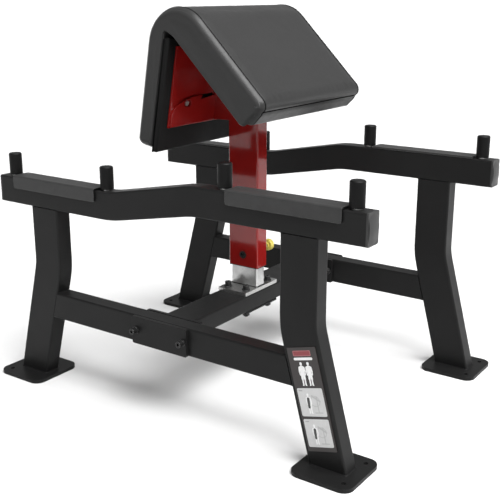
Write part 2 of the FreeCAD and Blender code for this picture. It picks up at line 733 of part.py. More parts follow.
def make_arm_pad():
    centre_y, centre_z = ridge_centre()

    def on_ridge(angle):
        return (centre_y + RIDGE_RADIUS * math.cos(angle), centre_z + RIDGE_RADIUS * math.sin(angle))

    steep_inner = steep_point(STEEP_FOAM, STEEP_END_Z)
    end_z = STEEP_END_Z + STEEP_FOAM * math.sin(STEEP_TILT)
    steep_outer = steep_point(0, end_z)
    slope_outer = slope_point(0, SLOPE_END)
    slope_inner = slope_point(SLOPE_FOAM, SLOPE_END)
    throat_rear = steep_point(STEEP_FOAM, 993.0)
    throat_front = slope_point(SLOPE_FOAM, 1045.0)
    crown = (throat_rear[0] - 22, 1004.0)
    first = on_ridge(STEEP_TILT)
    middle = on_ridge(math.radians(72.5))
    last = on_ridge(math.radians(135))

    def point(pair):
        return VECTOR(-PAD_HALF_X, *pair)

    def line(start, end):
        return Part.LineSegment(point(start), point(end)).toShape()

    ridge = Part.Arc(point(first), point(middle), point(last)).toShape()
    outline = [
        line(steep_outer, first), ridge, line(last, slope_outer), line(slope_outer, slope_inner),
        line(slope_inner, throat_front), line(throat_front, crown), line(crown, throat_rear),
        line(throat_rear, steep_inner), line(steep_inner, steep_outer)]
    pad = Part.Face(Part.Wire(outline)).extrude(VECTOR(2 * PAD_HALF_X, 0, 0))
    corners = []
    for edge in pad.Edges:
        middle_y, middle_z = edge.CenterOfMass.y, edge.CenterOfMass.z
        for y, z in (steep_outer, slope_outer):
            if abs(edge.CenterOfMass.x) < 1 and math.hypot(middle_y - y, middle_z - z) < 0.1:
                corners.append(edge)
    save("arm_pad", pad.makeFillet(END_CORNER, corners))


def pad_screw(place, out):
    """Button-head screw through a bracket plate into its board."""
    base = VECTOR(*place)
    head = Part.makeCylinder(6.5, 4, base, out)
    shank = Part.makeCylinder(3, PLATE + 12, base - out * (PLATE + 12), out)
    return head.fuse(shank).cut(hexagon(5, 3, base + out * 2, out)).removeSplitter()


def pad_screw_hole(place, out):
    length = PLATE + 12 + SCREW_GAP
    return Part.makeCylinder(3 + SCREW_GAP, length + 1, VECTOR(*place) - out * length, out)


def make_pad_bracket():
    steep_out = VECTOR(0, -math.cos(STEEP_TILT), -math.sin(STEEP_TILT))
    slope_out = VECTOR(0, math.sqrt(0.5), -math.sqrt(0.5))
    rear_depth = STEEP_FOAM + BOARD
    front_depth = SLOPE_FOAM + BOARD

    steep_board = steep_slab(STEEP_FOAM, rear_depth, *STEEP_BOARD_Z, STEEP_BOARD_HALF_X)
    slope_board = slope_slab(SLOPE_FOAM, front_depth, *SLOPE_BOARD_RUN, SLOPE_BOARD_HALF_X)
    rear_plate = steep_slab(rear_depth, rear_depth + PLATE, *REAR_PLATE_Z, PLATE_HALF_X)
    front_plate = slope_slab(front_depth, front_depth + PLATE, *FRONT_PLATE_RUN, PLATE_HALF_X)

    screws = []
    for x in (-PAD_SCREW_X, PAD_SCREW_X):
        for z in REAR_SCREW_Z:
            place = (x, *steep_point(rear_depth + PLATE, z))
            screws.append(pad_screw(place, steep_out))
            hole = pad_screw_hole(place, steep_out)
            steep_board = steep_board.cut(hole)
            rear_plate = rear_plate.cut(hole)
        for along in FRONT_SCREW_RUN:
            place = (x, *slope_point(front_depth + PLATE, along))
            screws.append(pad_screw(place, slope_out))
            hole = pad_screw_hole(place, slope_out)
            slope_board = slope_board.cut(hole)
            front_plate = front_plate.cut(hole)
    notch = drain_notch(NOTCH_PLATE_Z)
    save("steep_pad_board", steep_board)
    save("slope_pad_board", slope_board)
    save("rear_pad_plate", rear_plate.cut(notch).cut(mirror_x(notch)))
    save("front_pad_plate", front_plate)
    save("pad_screws", *screws)

    gusset_face = OUTER_POST_X / 2
    gusset = extrude_yz(
        [steep_point(rear_depth + PLATE, 752.0), steep_point(rear_depth + PLATE, 960.0),
         slope_point(front_depth + PLATE, 988.0), slope_point(front_depth + PLATE, 665.0),
         (-OUTER_POST_Y / 2, 752.0)],
        gusset_face, gusset_face + PLATE)
    save_pair("bracket_gusset", gusset)
    save_pair("bracket_crossbar", bracket_crossbar(rear_depth + PLATE, gusset_face + PLATE))


def drain_notch(upper_z):
    """Tapered slot that points outwards, cut right through along Y."""
    corners = [(NOTCH_X[0], NOTCH_Z[0]), (NOTCH_X[1], NOTCH_Z[1]),
               (NOTCH_X[1] - 12, upper_z), (NOTCH_X[0], upper_z)]
    wire = Part.makePolygon([VECTOR(x, 0, z) for x, z in corners + corners[:1]])
    return Part.Face(wire).extrude(VECTOR(0, 200, 0))


def bracket_crossbar(depth, inner_x):
    """Stiffening bar on the rear plate, with a rounded outer top corner."""
    low, high = CROSSBAR_Z
    bar = steep_slab(depth, depth + CROSSBAR, low, high, CROSSBAR_HALF_X)
    bar = bar.common(box((inner_x, CROSSBAR_HALF_X), (0, 200), (low - 5, high + 5)))
    centre = VECTOR(CROSSBAR_HALF_X - CROSSBAR_ROUND_X, 200, high - CROSSBAR_ROUND_Z)
    ellipse = Part.Ellipse(centre, CROSSBAR_ROUND_X, CROSSBAR_ROUND_Z)
    ellipse.Axis = -Y_AXIS
    quarter = ellipse.toShape(0, math.pi / 2)
    ends = [vertex.Point for vertex in quarter.Vertexes]
    corner = VECTOR(CROSSBAR_HALF_X, 200, high)
    outline = [quarter] + [Part.LineSegment(end, corner).toShape() for end in ends]
    cut = Part.Face(Part.Wire(Part.__sortEdges__(outline))).extrude(VECTOR(0, -300, 0))
    bar = bar.cut(cut)
    hole_y, hole_z = steep_point(depth, REAR_SCREW_Z[0])
    ends = (PAD_SCREW_X - CROSSBAR_HOLE_SLIDE, PAD_SCREW_X + CROSSBAR_HOLE_SLIDE)
    for x in ends:
        bar = bar.cut(cylinder(CROSSBAR_HOLE_RADIUS, 60, (x, hole_y - 30, hole_z), Y_AXIS))
    z_range = (hole_z - CROSSBAR_HOLE_RADIUS, hole_z + CROSSBAR_HOLE_RADIUS)
    bar = bar.cut(box(ends, (hole_y - 30, hole_y + 30), z_range))
    return bar.cut(drain_notch(high + 5))


def make_placard():
    half_w = PLACARD_WIDTH / 2
    half_l = PLACARD_LENGTH / 2
    face = -FRAME_X - FRAME_WIDTH / 2
    plate = rounded_box(
        (face - PLACARD_THICKNESS, face), (-half_w, half_w), (-half_l, half_l), X_AXIS, 3.0)
    middle_y = -LEG_Y - (LEG_BEND_Z - PLACARD_Z) * math.tan(LEG_SPLAY)
    plate.rotate(VECTOR(0, 0, 0), X_AXIS, -math.degrees(LEG_SPLAY))
    plate.translate(VECTOR(0, middle_y, PLACARD_Z))
    save("instruction_placard", plate)


os.makedirs("parts", exist_ok=True)
make_side_frames()
make_clamp_fasteners()
make_cross_beam()
make_base_fasteners()
make_inner_post()
make_outer_post()
make_pull_pin()
make_arm_pad()
make_pad_bracket()
make_placard()
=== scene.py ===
"""Looks of a standing biceps curl station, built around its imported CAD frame.

Metres, in the frame's own axes: +Z up, -Y the front, where the pad slopes away, and +X towards
the side frame on the pull pin's side.
"""

import json
import math

import bmesh
import bpy
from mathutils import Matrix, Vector
from mathutils.kdtree import KDTree


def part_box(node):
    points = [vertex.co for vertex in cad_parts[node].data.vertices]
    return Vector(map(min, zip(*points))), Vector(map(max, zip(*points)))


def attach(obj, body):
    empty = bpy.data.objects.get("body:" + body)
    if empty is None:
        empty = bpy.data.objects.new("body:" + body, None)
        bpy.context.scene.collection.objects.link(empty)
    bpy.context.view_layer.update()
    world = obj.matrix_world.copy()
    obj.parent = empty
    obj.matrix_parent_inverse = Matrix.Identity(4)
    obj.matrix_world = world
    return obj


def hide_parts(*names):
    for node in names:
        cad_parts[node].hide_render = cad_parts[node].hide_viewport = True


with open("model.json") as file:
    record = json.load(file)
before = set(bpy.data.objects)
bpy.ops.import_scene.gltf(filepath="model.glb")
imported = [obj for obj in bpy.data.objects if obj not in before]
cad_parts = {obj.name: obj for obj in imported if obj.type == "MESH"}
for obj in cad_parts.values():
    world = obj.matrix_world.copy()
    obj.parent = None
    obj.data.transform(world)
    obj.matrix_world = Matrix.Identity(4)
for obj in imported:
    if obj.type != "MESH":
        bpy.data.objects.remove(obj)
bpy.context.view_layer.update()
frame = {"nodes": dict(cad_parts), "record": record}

MM = 0.001

# ------------------------------------------------------------------------------ camera
CAMERA_PLACE = (-2.0157, -1.4183, 1.0952)
CAMERA_YAW = 55.01
CAMERA_PITCH = -16.33
CAMERA_LENS = 63.3

# -------------------------------------------------------------------- arm pad, as in CAD
PAD_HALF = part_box("arm_pad")[1][0]
STEEP_TILT = math.radians(10)
STEEP_REF = (165.7 * MM, 862.0 * MM)
SLOPE_LEVEL = 1058.0 * MM
SLOPE_END = 600.0 * MM
STEEP_END = 693.0 * MM
RIDGE_RADIUS = 102.0 * MM
STEEP_FOAM = 57.0 * MM
SLOPE_FOAM = 73.0 * MM
BOARD = 18.0 * MM
SLOPE_BOARD_RUN = (632.0 * MM, 1028.0 * MM)
SLOPE_BOARD_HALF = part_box("slope_pad_board")[1][0]

END_ROUND = 17.0 * MM          # roll of the cover's ends
ROLL_STEPS = 14
STEEP_CORNER = 20.0 * MM       # lower outer corners of the two legs
SLOPE_CORNER = 24.0 * MM
CHEEK_START = SLOPE_BOARD_HALF + 0.4 * MM
CHEEK_DEPTH = SLOPE_FOAM + BOARD + 1.0 * MM   # how far the ends wrap round the slope board
SEAM_X = PAD_HALF - END_ROUND - 1.0 * MM
SEAM_DEPTH = 2.4 * MM
SEAM_HALF_WIDTH = 2.4 * MM
SEAM_HALF_STEPS = 4            # cross sections from a groove's middle to its edge
THREAD_RADIUS = 2.3 * MM
TUCK = 3.0 * MM                # how deep the slope's lower seam is pulled in
SEAM_REACH = 16.0 * MM         # how far from its seam the stuffing stays pulled in
CROWN = 3.0 * MM               # most that the stuffed cover may swell
PRESSURE = 4.0                 # of the stuffing, in the cloth simulation's unit
CLOTH_VOXEL = 6.0 * MM
CLOTH_FRAMES = 20
EASE_ROUNDS = 80               # smoothing of the end caps' inner vertices
EASE_SHARE = 0.8
BOARD_ROUND = 6.0 * MM
GAP_SHADE_RADIUS = 3.0 * MM       # black cord laid between foam and board: painted shade for the gap there

# ------------------------------------------------------------------ stand, as in CAD
LEG_SPLAY = math.radians(15)
LEG_DEPTH = 100.0 * MM
TUBE_CORNER = 5.0 * MM
WELD_RADIUS = 1.9 * MM
WELD_PITCH = 3.2 * MM

# ---------------------------------------------------------------- placard graphics, mm
PANEL_SIZE = (70.0, 70.0)
PANEL_MIDDLES = (-6.0, -83.0)
FIGURE_HEIGHT = 58.0
# A standing figure of unit height, as round-ended strokes: x, y, x, y, radius.
FIGURE = (
    (0.0, 0.925, 0.0, 0.945, 0.058), (0.0, 0.85, 0.0, 0.90, 0.03), (-0.06, 0.79, 0.06, 0.79, 0.05),
    (-0.04, 0.74, -0.035, 0.56, 0.062), (0.04, 0.74, 0.035, 0.56, 0.062),
    (-0.115, 0.78, -0.135, 0.60, 0.03), (-0.135, 0.60, -0.12, 0.46, 0.024),
    (0.115, 0.78, 0.135, 0.60, 0.03), (0.135, 0.60, 0.12, 0.46, 0.024),
    (-0.045, 0.54, -0.055, 0.29, 0.05), (-0.055, 0.29, -0.055, 0.04, 0.034),
    (0.045, 0.54, 0.055, 0.29, 0.05), (0.055, 0.29, 0.055, 0.04, 0.034),
    (-0.055, 0.02, -0.085, 0.018, 0.02), (0.055, 0.02, 0.085, 0.018, 0.02))


# ---------------------------------------------------------------------------- materials
class Shader:
    """A material with its nodes, and short ways to add to it."""

    def __init__(self, name, metallic=0.0, specular=0.5, coat=0.0, coat_roughness=0.05):
        self.material = bpy.data.materials.new(name)
        self.material.use_nodes = True
        self.tree = self.material.node_tree
        self.surface = self.tree.nodes["Principled BSDF"]
        self.place = self.add("ShaderNodeTexCoord").outputs["Object"]
        for socket, value in (
                ("Metallic", metallic), ("Specular IOR Level", specular), ("Coat Weight", coat),
                ("Coat Roughness", coat_roughness)):
            self.surface.inputs[socket].default_value = value

    def add(self, kind, **settings):
        made = self.tree.nodes.new(kind)
        for key, value in settings.items():
            setattr(made, key, value)
        return made

    def feed(self, socket, value):
        """Links an output to a socket, or sets the socket to a plain value."""
        if isinstance(value, bpy.types.NodeSocket):
            self.tree.links.new(value, socket)
        else:
            socket.default_value = value

    def stretched(self, scale):
        mapping = self.add("ShaderNodeMapping")
        self.feed(mapping.inputs["Vector"], self.place)
        mapping.inputs["Scale"].default_value = scale
        return mapping.outputs["Vector"]

    def noise(self, scale, detail=2.0, roughness=0.5, place=None):
        made = self.add("ShaderNodeTexNoise")
        self.feed(made.inputs["Vector"], place or self.place)
        made.inputs["Scale"].default_value = scale
        made.inputs["Detail"].default_value = detail
        made.inputs["Roughness"].default_value = roughness
        return made.outputs["Fac"]

    def cells(self, scale):
        made = self.add("ShaderNodeTexVoronoi", feature="DISTANCE_TO_EDGE")
        self.feed(made.inputs["Vector"], self.place)
        made.inputs["Scale"].default_value = scale
        return made.outputs["Distance"]

    def ramp(self, value, low, high, to_low=0.0, to_high=1.0):
        made = self.add("ShaderNodeMapRange")
        self.feed(made.inputs["Value"], value)
        made.inputs["From Min"].default_value = low
        made.inputs["From Max"].default_value = high
        made.inputs["To Min"].default_value = to_low
        made.inputs["To Max"].default_value = to_high
        return made.outputs["Result"]

    def combine(self, operation, first, second):
        made = self.add("ShaderNodeMath", operation=operation)
        self.feed(made.inputs[0], first)
        self.feed(made.inputs[1], second)
        return made.outputs[0]

    def blend(self, factor, first, second):
        made = self.add("ShaderNodeMixRGB")
        self.feed(made.inputs["Fac"], factor)
        self.feed(made.inputs["Color1"], first)
        self.feed(made.inputs["Color2"], second)
        return made.outputs["Color"]

    def bump(self, height, strength, distance, normal=None):
        made = self.add("ShaderNodeBump")
        self.feed(made.inputs["Height"], height)
        made.inputs["Strength"].default_value = strength
        made.inputs["Distance"].default_value = distance
        if normal is not None:
            self.feed(made.inputs["Normal"], normal)
        return made.outputs["Normal"]

    def soft_edges(self, radius):
        """(a normal that rounds sharp edges, a mask that is 1 on those edges)."""
        bevel = self.add("ShaderNodeBevel", samples=4)
        bevel.inputs["Radius"].default_value = radius
        flat = self.add("ShaderNodeNewGeometry").outputs["Normal"]
        dot = self.add("ShaderNodeVectorMath", operation="DOT_PRODUCT")
        self.feed(dot.inputs[0], bevel.outputs["Normal"])
        self.feed(dot.inputs[1], flat)
        return bevel.outputs["Normal"], self.ramp(dot.outputs["Value"], 0.97, 0.82)

    def paint_end_shade(self, body, dark):
        """Paints shade onto faces square to Y, such as a plate's cut ends, darkening them as if they lay in
        shadow.
        """
        parts = self.add("ShaderNodeSeparateXYZ")
        self.feed(parts.inputs[0], self.add("ShaderNodeTexCoord").outputs["Normal"])
        facing = self.ramp(self.combine("ABSOLUTE", parts.outputs["Y"], 0.0), 0.85, 0.95)
        return self.blend(facing, body, dark)

    def finish(self, base, roughness, normal=None):
        self.feed(self.surface.inputs["Base Color"], base)
        self.feed(self.surface.inputs["Roughness"], roughness)
        if normal is not None:
            self.feed(self.surface.inputs["Normal"], normal)
        return self.material


def grey(level):
    return (level, level, level, 1.0)


def powder_coat(name, base, worn, low_rough, high_rough, specular, coat=0.0, peel=0.1):
    """Powder coat: fine orange peel, slight mottling, and edges rubbed a little paler."""
    shader = Shader(name, specular=specular, coat=coat, coat_roughness=0.06)
    rounded, edges = shader.soft_edges(1.2 * MM)
    patches = shader.ramp(shader.noise(9.0, 4.0, 0.6), 0.3, 0.7)
    darker = tuple(channel * 0.82 for channel in base[:3]) + (1.0,)
    body = shader.blend(patches, darker, base)
    broken = shader.ramp(shader.noise(60.0, 5.0, 0.7), 0.42, 0.68, 0.0, 0.55)
    body = shader.blend(shader.combine("MULTIPLY", edges, broken), body, worn)
    smears = shader.ramp(shader.noise(22.0, 5.0, 0.65), 0.25, 0.75, low_rough, high_rough)
    peel_height = shader.noise(650.0, 2.0, 0.5)
    normal = shader.bump(peel_height, peel, 0.3 * MM, rounded)
    return shader.finish(body, smears, normal)


def plated(name, base, low_rough, high_rough, grain, metallic=1.0, specular=0.5, bump=0.06,
           painted_end_shade=False):
    """Plated or ground metal: fine drawn grain along one axis, and a cloudy sheen."""
    shader = Shader(name, metallic=metallic, specular=specular)
    rounded, edges = shader.soft_edges(0.7 * MM)
    drawn = shader.noise(260.0, 4.0, 0.7, shader.stretched(grain))
    cloud = shader.ramp(shader.noise(35.0, 4.0, 0.6), 0.3, 0.7)
    dull = tuple(channel * 0.78 for channel in base[:3]) + (1.0,)
    body = shader.blend(cloud, dull, base)
    body = shader.blend(shader.ramp(edges, 0.0, 1.0, 0.0, 0.3), body, grey(0.8))
    # Painted shade: faces square to Y, such as a plate's ends, darkened nearly to black.
    if painted_end_shade:
        body = shader.paint_end_shade(body, grey(0.002))
    rough = shader.ramp(drawn, 0.3, 0.7, low_rough, high_rough)
    return shader.finish(body, rough, shader.bump(drawn, bump, 0.2 * MM, rounded))


def moulded(name, base, rough, specular=0.35, texture=500.0, bump=0.12):
    """Moulded plastic with a spark-eroded texture and faint flow marks."""
    shader = Shader(name, specular=specular)
    rounded, edges = shader.soft_edges(0.8 * MM)
    flow = shader.ramp(shader.noise(28.0, 3.0, 0.5), 0.3, 0.7)
    darker = tuple(channel * 0.85 for channel in base[:3]) + (1.0,)
    scuff = shader.combine("MULTIPLY", edges, shader.ramp(shader.noise(90.0, 4.0), 0.45, 0.7, 0.0, 0.35))
    body = shader.blend(flow, darker, base)
    paler = tuple(min(1.0, channel * 2.0 + 0.02) for channel in base[:3]) + (1.0,)
    body = shader.blend(scuff, body, paler)
    roughness = shader.ramp(shader.noise(40.0, 4.0), 0.3, 0.7, rough - 0.06, rough + 0.06)
    skin = shader.noise(texture, 3.0, 0.6)
    return shader.finish(body, roughness, shader.bump(skin, bump, 0.2 * MM, rounded))


def vinyl(name, base, low_rough, high_rough, specular):
    """Upholstery vinyl: a pebbled leather grain with fine creases between the pebbles, and painted shade in
    the valleys between them.
    """
    shader = Shader(name, specular=specular)
    warp = shader.noise(45.0, 3.0, 0.5)
    pebbles = shader.ramp(shader.cells(620.0), 0.0, 0.28)
    creases = shader.ramp(shader.cells(210.0), 0.0, 0.1)
    pores = shader.noise(1500.0, 2.0, 0.5)
    tone = shader.ramp(shader.noise(7.0, 4.0, 0.6), 0.3, 0.7)
    darker = tuple(channel * 0.88 for channel in base[:3]) + (1.0,)
    body = shader.blend(tone, darker, base)
    # Painted shade: the grain's valleys are darkened.
    valley_shade = tuple(channel * 0.72 for channel in base[:3]) + (1.0,)
    body = shader.blend(shader.ramp(pebbles, 0.0, 1.0, 0.5, 0.0), body, valley_shade)
    height = shader.combine("MULTIPLY", pebbles, 0.7)
    height = shader.combine("ADD", height, shader.combine("MULTIPLY", creases, 0.25))
    height = shader.combine("ADD", height, shader.combine("MULTIPLY", pores, 0.15))
    rough = shader.ramp(warp, 0.3, 0.7, low_rough, high_rough)
    return shader.finish(body, rough, shader.bump(height, 0.22, 0.25 * MM))


def printed(name, base):
    """Screen-printed ink under a clear film, with a slight mottle."""
    shader = Shader(name, specular=0.4, coat=0.3, coat_roughness=0.12)
    tone = shader.ramp(shader.noise(130.0, 3.0, 0.6), 0.3, 0.7)
    darker = tuple(channel * 0.92 for channel in base[:3]) + (1.0,)
    film = shader.bump(shader.noise(300.0, 2.0), 0.04, 0.1 * MM)
    roughness = shader.ramp(shader.noise(60.0, 3.0), 0.3, 0.7, 0.30, 0.39)
    return shader.finish(shader.blend(tone, darker, base), roughness, film)


MATERIALS = {
    "frame_coat": powder_coat("frame_coat", grey(0.0095), grey(0.05), 0.34, 0.44, 0.13),
    # wear_steel's faces square to Y get painted shade, nearly black.
    "wear_steel": plated(
        "wear_steel", grey(0.030), 0.40, 0.55, (9.0, 0.6, 9.0), metallic=0.1, specular=0.3, painted_end_shade=True),
    "peg_plastic": moulded("peg_plastic", grey(0.004), 0.46, 0.12),
    "cap_plastic": moulded("cap_plastic", grey(0.030), 0.42, 0.25),
    "red_coat": powder_coat(
        "red_coat", (0.20, 0.0075, 0.0065, 1.0), (0.30, 0.03, 0.024, 1.0), 0.07, 0.12, 0.30, 0.42, 0.02),
    "zinc": plated("zinc", (0.62, 0.62, 0.61, 1.0), 0.24, 0.38, (4.0, 4.0, 1.0)),
    "chrome": plated("chrome", (0.72, 0.72, 0.715, 1.0), 0.26, 0.36, (6.0, 6.0, 0.5), bump=0.03),
    "dark_fastener": plated(
        "dark_fastener", grey(0.010), 0.36, 0.46, (5.0, 5.0, 5.0), metallic=0.0, specular=0.3),
    "bush_plastic": moulded("bush_plastic", grey(0.005), 0.38, 0.2),
    "knob_plastic": moulded("knob_plastic", (0.56, 0.47, 0.095, 1.0), 0.28, 0.5, 300.0, 0.04),
    "pad_vinyl": vinyl("pad_vinyl", grey(0.027), 0.32, 0.40, 0.2),
    # The boards wear the pad's grey vinyl; their colour is painted much darker as shade for the hollow
    # inside the pad.
    "board": vinyl("board", grey(0.007), 0.40, 0.50, 0.08),
    "placard": printed("placard", (0.010, 0.0055, 0.005, 1.0)),
}
# Near-black thread for the seams, also the cord of painted shade between foam and board.
THREAD_AND_GAP_SHADE = moulded("seam_thread_and_gap_shade", grey(0.0015), 0.8, 0.05)
WELD = plated("weld_bead", grey(0.010), 0.40, 0.50, (1.0, 1.0, 1.0), metallic=0.0, specular=0.15)
INK = {
    "white": printed("ink_white", grey(0.72)),
    "panel": printed("ink_panel", grey(0.50)),
    "pale": printed("ink_pale", (0.30, 0.10, 0.11, 1.0)),
    "red": printed("ink_red", (0.20, 0.018, 0.025, 1.0)),
    "grey": printed("ink_grey", grey(0.30)),
    "faint": printed("ink_faint", grey(0.38)),
    "dark": printed("ink_dark", grey(0.035)),
}

for part in frame["record"]["subparts"]:
    shape = frame["nodes"][part["node"]]
    shape.data.materials.clear()
    shape.data.materials.append(MATERIALS[part["material_slot"]])


# --------------------------------------------------------------------------- mesh tools
def new_piece(name, verts, faces, material, smooth=True):
    mesh = bpy.data.meshes.new(name)
    mesh.from_pydata([tuple(vert) for vert in verts], [], faces)
    mesh.validate()
    mesh.update()
    piece = bpy.data.objects.new(name, mesh)
    bpy.context.scene.collection.objects.link(piece)
    mesh.materials.append(material)
    tidy = bmesh.new()
    tidy.from_mesh(mesh)
    bmesh.ops.recalc_face_normals(tidy, faces=tidy.faces)
    tidy.to_mesh(mesh)
    tidy.free()
    for face in mesh.polygons:
        face.use_smooth = smooth
    return piece


def place_piece(piece, body):
    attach(piece, body)


def rounded_outline(corners):
    """Closed outline of (y, z) points; corners are (y, z, radius, arc steps, steps of the run after)."""
    places = [Vector(corner[:2]) for corner in corners]
    spans = []
    for index, (_, _, radius, _, _) in enumerate(corners):
        corner = places[index]
        back = (places[index - 1] - corner).normalized()
        ahead = (places[(index + 1) % len(corners)] - corner).normalized()
        half = back.angle(ahead) / 2
        reach = radius / math.tan(half)
        middle = corner + (back + ahead).normalized() * (radius / math.sin(half))
        spans.append((corner + back * reach, corner + ahead * reach, middle, math.pi - 2 * half))
    outline = []
    for index, (entry, leave, middle, turn) in enumerate(spans):
        arc_steps, run_steps = corners[index][3:]
        start = entry - middle
        side = 1 if start.cross(leave - middle) > 0 else -1
        for step in range(arc_steps):
            angle = side * turn * step / arc_steps
            outline.append(middle + Vector((start.x * math.cos(angle) - start.y * math.sin(angle),
                                            start.x * math.sin(angle) + start.y * math.cos(angle))))
        run = spans[(index + 1) % len(spans)][0] - leave
        for step in range(run_steps):
            outline.append(leave + run * (step / run_steps))
    return outline


def inward_normals(outline):
    """Unit (y, z) normals that point into a closed outline."""
    area = sum(a.cross(b) for a, b in zip(outline, outline[1:] + outline[:1]))
    turn = 1 if area > 0 else -1
    normals = []
    for index, _ in enumerate(outline):
        run = (outline[(index + 1) % len(outline)] - outline[index - 1]).normalized()
        normals.append(Vector((-run.y, run.x)) * turn)
    return normals


def spread(low, high, spacing):
    steps = round((high - low) / spacing)
    return [low + (high - low) * step / steps for step in range(steps + 1)]


def rounded_slab(name, corners, half_x, radius, material):
    """Slab along X over four (y, z) corners, with every edge rounded."""
    verts = [(x, *corner) for x in (-half_x, half_x) for corner in corners]
    faces = [(0, 1, 2, 3), (7, 6, 5, 4)]
    faces += [(side, side + 4, (side + 1) % 4 + 4, (side + 1) % 4) for side in range(4)]
    piece = new_piece(name, verts, faces, material)
    shaped = bmesh.new()
    shaped.from_mesh(piece.data)
    bmesh.ops.bevel(shaped, geom=shaped.edges[:] + shaped.verts[:], offset=radius, segments=5,
                    profile=0.5, affect="EDGES")
    shaped.to_mesh(piece.data)
    shaped.free()
    for face in piece.data.polygons:
        face.use_smooth = True
    return piece


def tube_along(name, path, radii, closed, material, sides=8):
    """Round tube through the points of a path, with a radius for each of them."""
    verts = []
    faces = []
    count = len(path)
    for index, place in enumerate(path):
        after = path[(index + 1) % count] if closed or index < count - 1 else place
        before = path[index - 1] if closed or index > 0 else place
        run = (after - before).normalized()
        along_x = abs(run.x) > 0.99
        aside = (run.orthogonal() if along_x else run.cross(Vector((1, 0, 0)))).normalized()
        above = run.cross(aside).normalized()
        for side in range(sides):
            angle = 2 * math.pi * side / sides
            verts.append(place + (aside * math.cos(angle) + above * math.sin(angle)) * radii[index])
    for index in range(count if closed else count - 1):
        low = index * sides
        high = (index + 1) % count * sides
        for side in range(sides):
            after = (side + 1) % sides
            faces.append((low + side, low + after, high + after, high + side))
    if not closed:
        faces.append(tuple(range(sides)))
        faces.append(tuple(range((count - 1) * sides, count * sides)))
    return new_piece(name, verts, faces, material)


# ------------------------------------------------------------------------------ arm pad
def steep_point(depth, z):
    """(y, z) at height z, on the plane this deep behind the steep outer face."""
    ref_y, ref_z = STEEP_REF
    return (ref_y - (z - ref_z) * math.tan(STEEP_TILT) - depth / math.cos(STEEP_TILT), z)


def slope_point(depth, along):
    """(y, z) this deep under the sloping outer face, where z plus y is along."""
    level = SLOPE_LEVEL - depth * math.sqrt(2)
    return ((along - level) / 2, (along + level) / 2)


def ridge_corner():
    """(y, z) where the steep and the sloping outer faces would meet."""
    ref_y, ref_z = STEEP_REF
    lean = math.tan(STEEP_TILT)
    y = (ref_y - (SLOPE_LEVEL - ref_z) * lean) / (1 + lean)
    return (y, y + SLOPE_LEVEL)


# The outline runs up the steep face, over the ridge and down the slope (its outer side), and
# back along the boards (its inner side). Both sides have the same number of steps.
SHORT_STEPS = 8
CORNER_STEPS = 6
OUTER_STEPS = 122


def pad_outline(cheek):
    """The cushion's outline, or the deeper one of its ends, which wrap the slope board."""
    slope_depth = CHEEK_DEPTH if cheek else SLOPE_FOAM
    heel = 22 * MM if cheek else 7 * MM
    end_z = STEEP_END + STEEP_FOAM * math.sin(STEEP_TILT)
    return rounded_outline([
        (*steep_point(0, end_z), STEEP_CORNER, CORNER_STEPS, 36),
        (*ridge_corner(), RIDGE_RADIUS, 30, 44),
        (*slope_point(0, SLOPE_END), SLOPE_CORNER, CORNER_STEPS, SHORT_STEPS),
        (*slope_point(slope_depth, SLOPE_END), heel, CORNER_STEPS, 47),
        (*slope_point(slope_depth, 1040.0 * MM), 6 * MM, 5, 8),
        (*steep_point(STEEP_FOAM, 1000.0 * MM), 6 * MM, 5, 45),
        (*steep_point(STEEP_FOAM, STEEP_END), 8 * MM, CORNER_STEPS, SHORT_STEPS)])


def roll_share(step, count, cheek):
    """1 where the cover is open to the outside, and little along its inner side."""
    inner_start = OUTER_STEPS + SHORT_STEPS
    inner_end = count - SHORT_STEPS
    from_ends = min(step - inner_start, inner_end - step)
    least = 0.35 if cheek else 0.15
    return min(1.0, max(least, 1 - (1 - least) * from_ends / CORNER_STEPS))


def on_board(place):
    """Whether a place lies on the inner side, against a board."""
    _, y, z = place
    behind_steep = (STEEP_REF[0] - (z - STEEP_REF[1]) * math.tan(STEEP_TILT) - y) * math.cos(STEEP_TILT)
    under_slope = (SLOPE_LEVEL - (z - y)) / math.sqrt(2)
    return behind_steep > STEEP_FOAM - 2 * MM and under_slope > SLOPE_FOAM - 2 * MM


def roll_profile():
    """(x, inset) from the seam to the end: a puffed border that leans over, then turns square."""
    places = [(0.0, 0.0)]
    for step in range(ROLL_STEPS):
        share = (step + 0.5) / ROLL_STEPS
        lean = math.radians(24 + 46 * share) if share < 0.8 else math.radians(61 + 145 * (share - 0.8))
        x, inset = places[-1]
        places.append((x + math.cos(lean), inset + math.sin(lean)))
    start = SEAM_X + SEAM_HALF_WIDTH
    scale = (PAD_HALF - start) / places[-1][0]
    return [(start + x * scale, inset * scale) for x, inset in places]


def pad_stations():
    """(x, inset, cheek) of each cross section, from the left end to the right one."""
    profile = roll_profile()
    right = [(x, inset, x > CHEEK_START) for x, inset in profile]
    for (x, inset), (next_x, next_inset) in zip(profile, profile[1:]):
        if x <= CHEEK_START < next_x:
            between = inset + (next_inset - inset) * (CHEEK_START - x) / (next_x - x)
            right += [(CHEEK_START, between, False), (CHEEK_START, between, True)]
    for step in range(-SEAM_HALF_STEPS, SEAM_HALF_STEPS):
        reach = step / SEAM_HALF_STEPS
        depth = SEAM_DEPTH * (1 + math.cos(math.pi * reach)) / 2
        right.append((SEAM_X + reach * SEAM_HALF_WIDTH, depth, False))
    right.sort()
    flat = [(x, 0.0, False) for x in spread(-SEAM_X + 8 * MM, SEAM_X - 8 * MM, 8 * MM)]
    return [(-x, inset, cheek) for x, inset, cheek in reversed(right)] + flat + right


